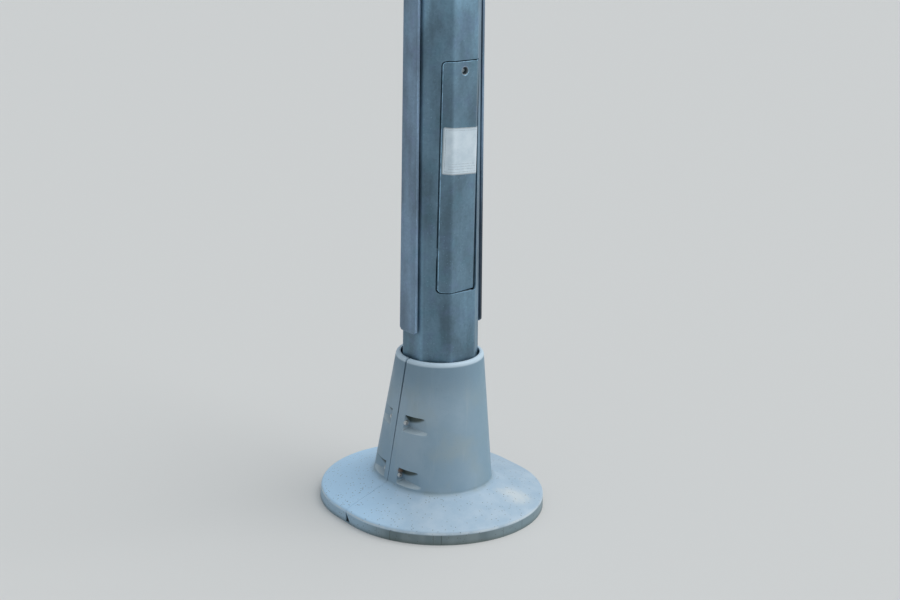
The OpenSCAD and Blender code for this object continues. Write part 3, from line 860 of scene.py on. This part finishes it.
def shaped(name, tree, finish, values, points=(), edges=()):
    """A piece made by a geometry tree from its named inputs, turned into plain mesh."""
    mesh = bpy.data.meshes.new(name)
    mesh.from_pydata([(x * MM, y * MM, z * MM) for x, y, z in points], list(edges), [])
    obj = linked(name, mesh)
    maker = obj.modifiers.new("maker", "NODES")
    maker.node_group = tree
    values = dict(values, Finish=finish)
    for item in tree.interface.items_tree:
        if item.item_type == "SOCKET" and item.in_out == "INPUT" and item.name in values:
            maker[item.identifier] = values[item.name]
    return settled(obj)


def walled_skin(name, material, low, high, wall, rows):
    """Octagonal skin with a wall inside it."""
    obj = cleaned(shaped(name, octagonal_skin, material, {"Low": low * MM, "High": high * MM, "Rows": rows}))
    return modified(obj, "wall", "SOLIDIFY", thickness=wall * MM, offset=-1, use_even_offset=True)


def make_shaft():
    tube = walled_skin("mast_tube", steel, FLANGE_T, SECTION_H, SHAFT_WALL, 2)
    cut(tube, prism("opening_tool", door_outline(DOOR_SLIT), -FOOT_AF, 0))
    worn_and_highlit(eased(cleaned(tube, 0.4), 1.0))
    placed(smoothed(tube), "mast", "galvanised_steel", "shaft")


def make_leaf():
    spare = 3
    leaf = walled_skin("door_leaf", door_steel, DOOR_Z - spare, DOOR_TOP + spare, DOOR_T, 24)
    cut(leaf, prism("leaf_tool", door_outline(0), -FOOT_AF, 0), "INTERSECT")
    hole = [(door_middle(LOCK_Z) + LOCK_HOLE_R * math.cos(a), LOCK_Z + LOCK_HOLE_R * math.sin(a))
            for a in turns(40)]
    cut(leaf, prism("hole_tool", hole, -FOOT_AF, 0))
    worn_and_highlit(eased(cleaned(each_moved(leaf, leaf_turn), 0.5), 1.4, 4))
    placed(smoothed(leaf), "door", "galvanised_door", "door_panel")


def label_point(u, v):
    """Point of the label: rounded at its corners, where it curls, and puffed up in places."""
    inset = LABEL_W / 2 - LABEL_CORNER
    du, dv = abs(u) - inset, abs(v) - inset
    if du > 0 and dv > 0:
        reach, length = max(du, dv), math.hypot(du, dv)
        u, v = (math.copysign(inset + c * reach / length, s) for c, s in ((du, u), (dv, v)))
    z = LABEL_Z + v - LABEL_TURN * u
    curl = 2.0 * max(0.0, (abs(u) + abs(v)) / LABEL_W - 0.86) ** 2
    puff = 0.12 * math.sin(u * 0.21 + 1.0) * math.sin(v * 0.17 + 2.0)
    return around(u + door_middle(z) + LABEL_SHEAR * v, z, LABEL_OFF + max(0.0, puff) + curl)


def make_label():
    """Square film bent over both bends of the leaf, a little askew."""
    n = LABEL_STEPS
    places = [(2 * i / n - 1) * LABEL_W / 2 for i in range(n + 1)]
    points = [label_point(u, v) for v in places for u in places]
    sheet = new_object("label_sheet", points, grid_faces(n + 1, n + 1), film)
    layer = sheet.data.uv_layers.new(name="label_uv")
    for loop in sheet.data.loops:
        j, i = divmod(loop.vertex_index, n + 1)
        layer.data[loop.index].uv = (i / n, j / n)
    each_moved(modified(sheet, "film", "SOLIDIFY", thickness=LABEL_T * MM, offset=-1), leaf_turn)
    sheet.data.shade_smooth()
    sheet.data.set_sharp_from_angle(angle=EDGE_ANGLE)
    placed(sheet, "door", "label_film", "door_label")


LOCK_X = door_middle(LOCK_Z)
LOCK_MOUTH = af_at(LOCK_Z) / 2 - DOOR_T / 2
CUP_DEPTH = 14.0
CUP_FLOOR = 2.0
CUP_BORE_R = 5.0
BOLT_HEAD_H = 6.0
BOLT_HEAD_R = 7.5
BOLT_CORNER_R = 1.6
BOLT_R = 5.0

# Rows of the lock bolt's head, as a share of its outline and a height: rounded at the top, with a dimple
BOLT_ROWS = ((1.0, -BOLT_HEAD_H), (1.0, -0.9), (0.97, -0.4), (0.90, -0.1), (0.82, 0.0), (0.30, 0.0),
             (0.22, -0.5), (0.0, -0.9))


def make_lock_cup():
    out, floor = LOCK_HOLE_R, CUP_FLOOR - CUP_DEPTH
    cup = [(out, -CUP_DEPTH + 0.5), (out, 0.6), (out - 0.3, 1.1), (out - 1.0, 1.2), (out - 1.7, 0.8),
           (out - 2, 0.0), (out - 2, floor + 0.5), (out - 2.5, floor), (CUP_BORE_R + 0.4, floor),
           (CUP_BORE_R, floor - 0.4), (CUP_BORE_R, -CUP_DEPTH), (out - 0.5, -CUP_DEPTH),
           (out, -CUP_DEPTH + 0.5)]
    part = lathe("lock_cup_turned", cup, lock_metal, Vector((LOCK_X, -LOCK_MOUTH, LOCK_Z)), FACING_OUT)
    placed(smoothed(part), "door", "lock_metal", "lock_cup")


def make_lock_bolt():
    """Bolt with a head of three rounded sides."""
    reach, top = BOLT_HEAD_R - 2 * BOLT_CORNER_R, LOCK_MOUTH - CUP_DEPTH + CUP_FLOOR + BOLT_HEAD_H
    outline = []
    for a in turns(3):
        for i in range(7):
            b = a + math.radians(-60 + 20 * i)
            outline.append((reach * math.cos(a) + BOLT_CORNER_R * math.cos(b),
                            reach * math.sin(a) + BOLT_CORNER_R * math.sin(b)))
    n = len(outline)
    points = [(LOCK_X + share * a, -top - h, LOCK_Z + share * b)
              for share, h in BOLT_ROWS for a, b in outline]
    faces = grid_faces(len(BOLT_ROWS), n, closed_columns=True) + [tuple(range(n))]
    head = cleaned(new_object("lock_bolt_head", points, faces, lock_metal))
    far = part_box("lock_bolt")[1].y / MM
    length = far + top - BOLT_HEAD_H
    shank = [(0, 0), (BOLT_R - 0.8, 0), (BOLT_R, 0.8), (BOLT_R, length - 0.5), (0, length)]
    pin = lathe("lock_bolt_pin", shank, lock_metal, Vector((LOCK_X, far, LOCK_Z)), FACING_OUT, 32)
    placed(smoothed(joined(head, pin)), "door", "lock_metal", "lock_bolt")


def arc(cr, cz, r, start, end, steps):
    return [(cr + r * math.cos(a), cz + r * math.sin(a))
            for a in (start + (end - start) * i / steps for i in range(steps + 1))]


def straight(a, b, steps):
    return [(a[0] + (b[0] - a[0]) * i / steps, a[1] + (b[1] - a[1]) * i / steps) for i in range(1, steps)]


# How far rows of points lie outside a pocket's top and foot, and columns behind its end wall
POCKET_ROWS = (4, 2.6, 1.4, 0.4, 0, -0.4, -1.3, -2.2, -2.6, -3.0, -3.6, -4.0, -4.4, -5.4, -8, -12, -17)
POCKET_COLUMNS = (-1.5, -0.8, -0.45, -0.1, 0.25, 0.6, 1.0, 2.0)
CONE_ROWS = 16
FAR_COLUMNS = 18
NEAR_REACH = 104
FIRST_COLUMN = 3.2


def cone_heights(low, high):
    """Heights on the cone, close together where a pocket begins and ends."""
    half = POCKET_H / 2
    rows = {z + side * (half + d) for z in SCREW_HEIGHTS for d in POCKET_ROWS for side in (-1, 1)}
    coarse = [low + (high - low) * i / CONE_ROWS for i in range(1, CONE_ROWS)]
    rows.update(z for z in coarse if all(abs(z - middle) > half + 7 for middle in SCREW_HEIGHTS))
    return sorted(z for z in rows if low + 0.8 < z < high - 0.8)


def wall_outline(inset):
    """One face of the cover's wall in radius and height, up to its lip, set in by a distance."""
    rim = arc(COVER_RIM_R - RIM_R, COVER_BAND_H - RIM_R * math.tan(FLARE / 2), RIM_R - inset, 0,
              math.pi / 2 - FLARE, 7)
    reach = FOOT_FILLET * math.tan((CONE - FLARE) / 2)
    fr, fz = COVER_CONE_R + reach * math.cos(FLARE), COVER_CONE_Z - reach * math.sin(FLARE)
    cr, cz = fr + FOOT_FILLET * math.sin(FLARE), fz + FOOT_FILLET * math.cos(FLARE)
    foot = arc(cr, cz, FOOT_FILLET + inset, 1.5 * math.pi - FLARE, 1.5 * math.pi - CONE, 7)
    thin = inset / math.sin(CONE)
    cone = [(cone_r_at(z) - thin, z) for z in cone_heights(foot[-1][1], COVER_H - LIP_R - 6)]
    return [(COVER_RIM_R - inset, 0.0)] + rim + straight(rim[-1], foot[0], 9) + foot + cone


def cover_section():
    """Outline of the cover's wall: up the outside and over the lip, and up the inside to the lip."""
    shoulder = COVER_H - LIP_R
    lip = arc(cone_r_at(shoulder) - LIP_R / math.sin(CONE), shoulder, LIP_R, math.pi / 2 - CONE,
              math.pi / 2, 8)
    hole = COVER_TOP_R - COVER_LIP
    under_lip = [(COVER_TOP_R - COVER_WALL, shoulder - COVER_WALL), (hole, COVER_H - COVER_WALL - 1),
                 (hole, COVER_H - 1.6), (hole + 0.5, COVER_H - 0.5)]
    return wall_outline(0) + lip, wall_outline(COVER_WALL) + under_lip


def ramp(value, start, end):
    t = min(max((value - start) / (end - start), 0.0), 1.0)
    return t * t * (3 - 2 * t)


def joint_at(z, x):
    """How far back the joint lies: it leans on the cone and runs forward on the skirt."""
    return JOINT_BACK - JOINT_LEAN * max(z - COVER_CONE_Z, 0.0) - JOINT_SWEEP * max(x - COVER_CONE_R, 0.0)


def gap_at(z):
    if z < COVER_CONE_Z:
        return GAP_SKIRT
    return GAP_FOOT + (GAP_TOP - GAP_FOOT) * (z - COVER_CONE_Z) / (COVER_H - COVER_CONE_Z)


def pocket_starts(half):
    """How far from the joint the end walls of the upper and the lower pocket stand, where the screws seat."""
    starts = []
    for height, level in zip(SCREW_HEIGHTS, ("upper", "lower")):
        low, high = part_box("cover_screw_left_" + level)
        seat = low.y / MM + HEAD_T if half < 0 else high.y / MM - HEAD_T
        starts.append(half * (seat - joint_at(height, 0)))
    return starts


def pocket_pull(x, away, z, grow, starts):
    """Sideways place of a point of the cover once the screw pockets are pressed in."""
    for height, depth, turn, start in zip(SCREW_HEIGHTS, POCKET_DEPTHS, POCKET_TURNS, starts):
        over = x - (cone_r_at(height) - depth - grow - turn * (away - start))
        edge = POCKET_H / 2 + grow - abs(z - height)
        if over <= -4 or edge < 0:
            continue
        over = (over + math.sqrt(over * over + 0.5)) / 2
        row = min(edge / (LEDGE_SLOPE if z < height else TOP_SLOPE), 1.0)
        x -= over * row * ramp(away, start - grow - 0.7, start - grow + 0.7)
    return x


def near_columns(starts):
    """Distances from the joint, close together where a pocket begins and where its floor runs out."""
    close = [start - grow + d for start in starts for grow in (0, COVER_WALL) for d in POCKET_COLUMNS]
    coarse = [FIRST_COLUMN, 6.5, 10, *range(14, 56, 4), *range(56, 94, 2), 97, NEAR_REACH]
    rows = [0.0]
    for d in sorted(close + coarse):
        if d - rows[-1] > 0.3 and d >= FIRST_COLUMN:
            rows.append(d)
    return rows


def outline_point(radius, z, half, near, step):
    """Point of one half's outline, counted in steps from the joint, and how far it is from there."""
    shift = shift_at(z)
    joint = joint_at(z, radius)
    if joint < 0:
        joint = -radius * math.asin(-joint / radius)
    whole = radius * math.pi / 2 + (joint if half < 0 else shift - joint)
    if step == 0:
        away = gap_at(z) / 2
    elif step < len(near):
        away = near[step]
    else:
        away = near[-1] + (whole - near[-1]) * (step - len(near) + 1) / FAR_COLUMNS
    t = joint + half * away
    if t < 0:
        return radius * math.cos(t / radius), radius * math.sin(t / radius), away
    if t <= shift:
        return radius, t, away
    a = (t - shift) / radius
    return radius * math.cos(a), shift + radius * math.sin(a), away


def joint_rib(side, half):
    """Flange inside the wall along the joint."""
    levels = 41
    top = COVER_H - 16
    points = []
    for k in range(levels):
        z = COVER_BAND_H + (top - COVER_BAND_H) * k / (levels - 1)
        reach = cone_r_at(z) if z > COVER_CONE_Z else COVER_CONE_R + (COVER_CONE_Z - z) / math.tan(FLARE)
        reach = min(reach, COVER_RIM_R - 8) - COVER_WALL / 2
        bend = min(reach, COVER_CONE_R)
        near, far = gap_at(z) / 2, gap_at(z) / 2 + RIB_T
        for x, away in ((RIB_NEAR_X, near), (bend, near), (reach, near),
                        (reach, far), (bend, far), (RIB_NEAR_X, far)):
            points.append((side * x, joint_at(z, x) + half * away, z))
    faces = [tuple(range(6)), tuple(range(len(points) - 6, len(points)))]
    faces += grid_faces(levels, 6, closed_columns=True)
    return cleaned(new_object("rib", points, faces, cover_material))


def make_cover(half, name, node):
    """One half of the cover: -1 is the front one, 1 the back one."""
    outer, inner = cover_section()
    loop = [(p, 0.0) for p in outer] + [(p, COVER_WALL) for p in reversed(inner)]
    starts = pocket_starts(half)
    near = near_columns(starts)
    side_steps = len(near) + FAR_COLUMNS
    columns = [(1, i) for i in range(side_steps)] + [(-1, i) for i in range(side_steps - 2, -1, -1)]
    points = []
    for (radius, z), grow in loop:
        for side, step in columns:
            x, y, away = outline_point(radius, z, half, near, step)
            points.append((side * pocket_pull(x, away, z, grow, starts), y, z))
    n, m = len(columns), len(loop)
    faces = grid_faces(m, n, closed_rows=True)
    faces += [tuple(j * n for j in range(m)), tuple(j * n + n - 1 for j in range(m))]
    shell = cleaned(new_object(name, points, faces, cover_material), 0.03)
    if half < 0:
        y = joint_at(0, COVER_RIM_R)
        notch = [(y - NOTCH_W, NOTCH_LOW), (y + 1, NOTCH_LOW), (y + 1, NOTCH_HIGH), (y - 1, NOTCH_HIGH)]
        cut(shell, prism("notch_tool", notch, -400, 400, "X"))
    joined(shell, joint_rib(-1, half), joint_rib(1, half))
    placed(smoothed(shell, 38), "mast", "cover_shell", node)


def nut(name, width, height, bore, material, centre, axis):
    """Hexagonal nut with its corners turned off on both faces."""
    steps, chamfer = 48, 0.5
    sixth = math.pi / 3
    hexagon = [width / 2 / math.cos((a + sixth / 2) % sixth - sixth / 2) for a in turns(steps)]
    face_r = width / 2 * 0.97
    profile = [(bore + chamfer, 0), (face_r, 0), (hexagon, height * 0.13), (hexagon, height * 0.87),
               (face_r, height), (bore + chamfer, height), (bore, height - chamfer), (bore, chamfer),
               (bore + chamfer, 0)]
    return lathe(name, profile, material, centre, axis, steps)


# Screw head in radius and height: the floor and wall of its recess, its domed top and its edge
SCREW_HEAD = [(0, 2.2), (2.3, 2.2), (2.3, 4.1), (2.9, 4.7), (4.4, 4.5), (5.7, 3.6), (6.5, 2.3), (6.7, 1.2),
              (6.75, 0.9), (6.8, 0.0)]
SCREW_R = 4.0
SCREW_NUT_W = 11.6
SCREW_NUT_H = 4.8


def make_screw(node):
    """Pan-head screw across the joint with its nut, seated where the node is."""
    low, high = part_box(node)
    x, z = (low.x + high.x) / 2 / MM, (low.z + high.z) / 2 / MM
    front, back = low.y / MM + HEAD_T, high.y / MM - HEAD_T
    grip = back - front
    profile = SCREW_HEAD + [(SCREW_R, 0.0), (SCREW_R, -grip - 4.6), (SCREW_R - 0.6, -grip - HEAD_T),
                            (0, -grip - HEAD_T)]
    screw = lathe(node + "_turned", profile, screw_metal, Vector((x, front, z)), FACING_OUT, 36)
    seat = Vector((x, back, z))
    joined(screw, nut("nut", SCREW_NUT_W, SCREW_NUT_H, SCREW_R, screw_metal, seat, FACING_IN))
    placed(smoothed(screw), "mast", "zinc_plate", node)


STUD_R = 4.5
THREAD_PITCH = 1.5
THREAD_RIDGE = 0.5


def make_earth_terminal():
    """Threaded stud on the inside of the left wall, and its nut."""
    low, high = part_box("earth_stud")
    foot = Vector((low.x, (low.y + high.y) / 2, (low.z + high.z) / 2)) / MM
    length = (high.x - low.x) / MM
    core = [(0, 0), (STUD_R, 0), (STUD_R, length - 1.2), (STUD_R - 1.1, length), (0, length)]
    stud = lathe("earth_stud_turned", core, bolt_zinc, foot, INTO_SHAFT, 28)
    path = [(foot.x + 3, foot.y, foot.z), (foot.x + length - 1.4, foot.y, foot.z)]
    sizes = {"Pitch": THREAD_PITCH * MM, "Radius": STUD_R * MM, "Ridge": THREAD_RIDGE * MM}
    thread = shaped("stud_thread", thread_rings, bolt_zinc, sizes, path, [(0, 1)])
    joined(stud, cleaned(thread))
    placed(smoothed(stud), "mast", "zinc_plate", "earth_stud")
    low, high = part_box("earth_nut")
    centre = Vector((low.x / MM, foot.y, foot.z))
    point_up = math.radians(30)
    width = (high.z - low.z) / MM * math.cos(point_up)
    piece = nut("earth_nut_turned", width, (high.x - low.x) / MM, 4.7, bolt_zinc, centre,
                INTO_SHAFT @ Matrix.Rotation(point_up, 3, "Z"))
    placed(smoothed(piece), "mast", "zinc_plate", "earth_nut")


def make_bead(name, points, width, pitch, seed, closed=False):
    """Weld bead along a closed ring of points, or along each pair of them."""
    n = len(points)
    edges = [(i, (i + 1) % n) for i in range(n)] if closed else [(i, i + 1) for i in range(0, n, 2)]
    sizes = {"Ripple Width": width * MM, "Pitch": pitch * MM, "Seed": seed}
    bead = shaped(name, weld_bead, weld_steel, sizes, points, edges)
    bead.data.shade_smooth()
    return bead


def octagon_ring(z, offset, steps=9):
    """Points round the shaft at a height, a little outside it."""
    half, r = af_at(z) / 2 + offset, bend_at(z, offset)
    c = (half - r) / math.cos(CORNER)
    ring = []
    for k in range(8):
        a = CORNER + k * BEND
        for i in range(steps):
            b = a - CORNER + BEND * i / (steps - 1)
            ring.append((c * math.cos(a) + r * math.cos(b), c * math.sin(a) + r * math.sin(b), z))
    return ring


def gusset_paths():
    """Both ends of each weld on either side of the four gussets, along the flange and up the shaft."""
    root = af_at(FLANGE_T) / 2
    points = []
    for quarter in range(4):
        a = math.radians(90 * quarter)
        for side in (-1, 1):
            off = side * (GUSSET_T / 2 + 0.6)
            for r, z in ((root + 8, FLANGE_T + 0.8), (root + GUSSET_REACH - 2, FLANGE_T + 0.8),
                         (root + 0.8, FLANGE_T + 8),
                         (root + 0.5 - TAPER / 2 * GUSSET_H, FLANGE_T + GUSSET_H - 2)):
                points.append((r * math.cos(a) - off * math.sin(a), r * math.sin(a) + off * math.cos(a), z))
    return points


def seam_bead():
    """Flattened bead up the shaft's rear, above the gusset."""
    ends = [(2.0, af_at(z) / 2 + 0.1, z) for z in (FLANGE_T + 84, SECTION_H - 3)]
    seam = make_bead("seam_weld", ends, 7, 2.4, 8)
    for v in seam.data.vertices:
        skin = (af_at(v.co.z / MM) / 2 - 0.6) * MM
        v.co.y = skin + (v.co.y - skin) * 0.42
    return seam


def stud_bead():
    low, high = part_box("earth_stud")
    middle, ring_r = (low.z + high.z) / 2 / MM, 6
    ring = [(low.x / MM + 0.8, ring_r * math.cos(a), middle + ring_r * math.sin(a)) for a in turns(24)]
    return make_bead("stud_weld", ring, 4, 2, 11, True)


def make_welds():
    beads = make_bead("weld_beads", octagon_ring(FLANGE_T + 1.2, 1.2), 9, 3.2, 3, True)
    gussets = make_bead("gusset_welds", gusset_paths(), 6, 2.4, 5)
    placed(joined(beads, gussets, seam_bead(), stud_bead()), "mast", "galvanised_steel")


make_shaft()
make_leaf()
make_label()
make_lock_cup()
make_lock_bolt()
make_cover(-1, "front_cover", "cover_front_half")
make_cover(1, "back_cover", "cover_back_half")
for node in ("cover_screw_left_upper", "cover_screw_left_lower",
             "cover_screw_right_upper", "cover_screw_right_lower"):
    make_screw(node)
make_earth_terminal()
make_welds()
for node in ("base_flange", "gusset_front", "gusset_back", "gusset_left", "gusset_right"):
    softened(node, steel, 1.2)
softened("side_bar_left", bar_steel, 0.8)
# The right bar carries painted shade on its front
softened("side_bar_right", shaded_front_bar_steel, 0.8)
for node in ("bar_spacers_left", "bar_spacers_right", "opening_strip_left", "opening_strip_right",
             "opening_strip_top", "opening_strip_bottom", "lock_bridge", "gear_rail"):
    softened(node, inner_steel, 0.6)
for node in ("door_lug_left", "door_lug_right", "door_lug_bottom"):
    softened(node, door_steel, 0.5, "door", "galvanised_door", leaf_turn)

# Floor, room and lamps
FLOOR_HALF = 40000.0
floor_material, recipe, floor_shader, _ = new_material("pale_floor")
recipe.set(floor_shader, "Base Color", (0.62, 0.62, 0.61))
recipe.set(floor_shader, "Roughness", 0.9)
corners = [(x * FLOOR_HALF, y * FLOOR_HALF, 0) for x, y in ((-1, -1), (1, -1), (1, 1), (-1, 1))]
floor = new_object("floor", corners, [(0, 1, 2, 3)], floor_material)

world = bpy.data.worlds.new("soft_room")
world.use_nodes = True
room = next(n for n in world.node_tree.nodes if n.type == "BACKGROUND")
room.inputs["Color"].default_value = (0.88, 0.95, 1.0, 1.0)
room.inputs["Strength"].default_value = 0.38
bpy.context.scene.world = world


def add_sun(name, strength, softness, azimuth, elevation, tint=(1, 1, 1)):
    """Soft light from a direction. Azimuth 0 comes from the door's side, 90 from the right side."""
    data = bpy.data.lights.new(name, "SUN")
    data.energy = strength
    data.angle = math.radians(softness)
    data.color = tint
    a, e = math.radians(azimuth), math.radians(elevation)
    towards = Vector((math.sin(a) * math.cos(e), -math.cos(a) * math.cos(e), math.sin(e)))
    linked(name, data).rotation_euler = towards.to_track_quat("Z", "Y").to_euler()


add_sun("ceiling_light", strength=1.55, softness=60, azimuth=60, elevation=70)
add_sun("side_light", strength=0.85, softness=60, azimuth=40, elevation=30)
add_sun("left_light", strength=0.22, softness=80, azimuth=-95, elevation=50, tint=(0.72, 0.87, 1.0))

bpy.context.scene.view_settings.view_transform = "Standard"
